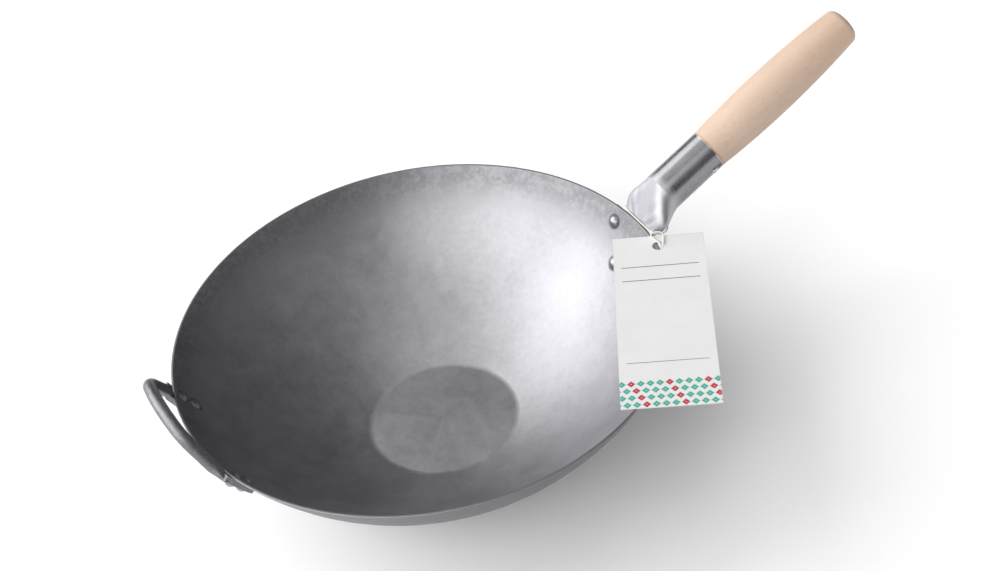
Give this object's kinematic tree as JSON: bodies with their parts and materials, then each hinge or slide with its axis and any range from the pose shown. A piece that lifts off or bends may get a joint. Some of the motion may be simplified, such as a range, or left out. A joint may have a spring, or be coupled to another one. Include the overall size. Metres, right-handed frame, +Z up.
{
  "type": "carbon steel wok",
  "caption": "Round carbon steel wok with a flat bottom, a riveted socket handle with a wooden grip, a bent rod helper handle and a hang tag on a string.",
  "frame": {"origin": "middle of the underside of the flat bottom", "axes": "+Z up, +X along the main handle, +Y to the left of the main handle as seen from above the bowl"},
  "size_m": [0.5655, 0.3691, 0.2101],
  "materials": {
    "bowl_steel": "brushed, mottled bare steel",
    "socket_steel": "satin bare steel",
    "rod_steel": "satin bare steel",
    "rivet_steel": "satin",
    "screw_steel": "bright",
    "grip_wood": "smooth pale beech",
    "tag_card": "matt printed card",
    "string_cotton": "twisted cotton"
  },
  "bodies": {
    "wok": {"wok_bowl": "bowl_steel", "handle_socket": "socket_steel", "wooden_grip": "grip_wood", "grip_screw": "screw_steel", "handle_rivet_left": "rivet_steel", "handle_rivet_right": "rivet_steel", "handle_rivet_lower": "rivet_steel", "helper_handle": "rod_steel", "helper_rivet_left_upper": "rivet_steel", "helper_rivet_left_lower": "rivet_steel", "helper_rivet_right_upper": "rivet_steel", "helper_rivet_right_lower": "rivet_steel", "tag_string_loop": "string_cotton"},
    "tag": {"hang_tag": "tag_card", "tag_string": "string_cotton"}
  },
  "joints": [
    {"name": "tag_lift", "type": "hinge", "parent": "wok", "child": "tag", "pos_m": [0.186, -0.0209, 0.1022], "axis": [-0.8686, 0.4955, 0], "range_deg": [0, 25]}
  ]
}
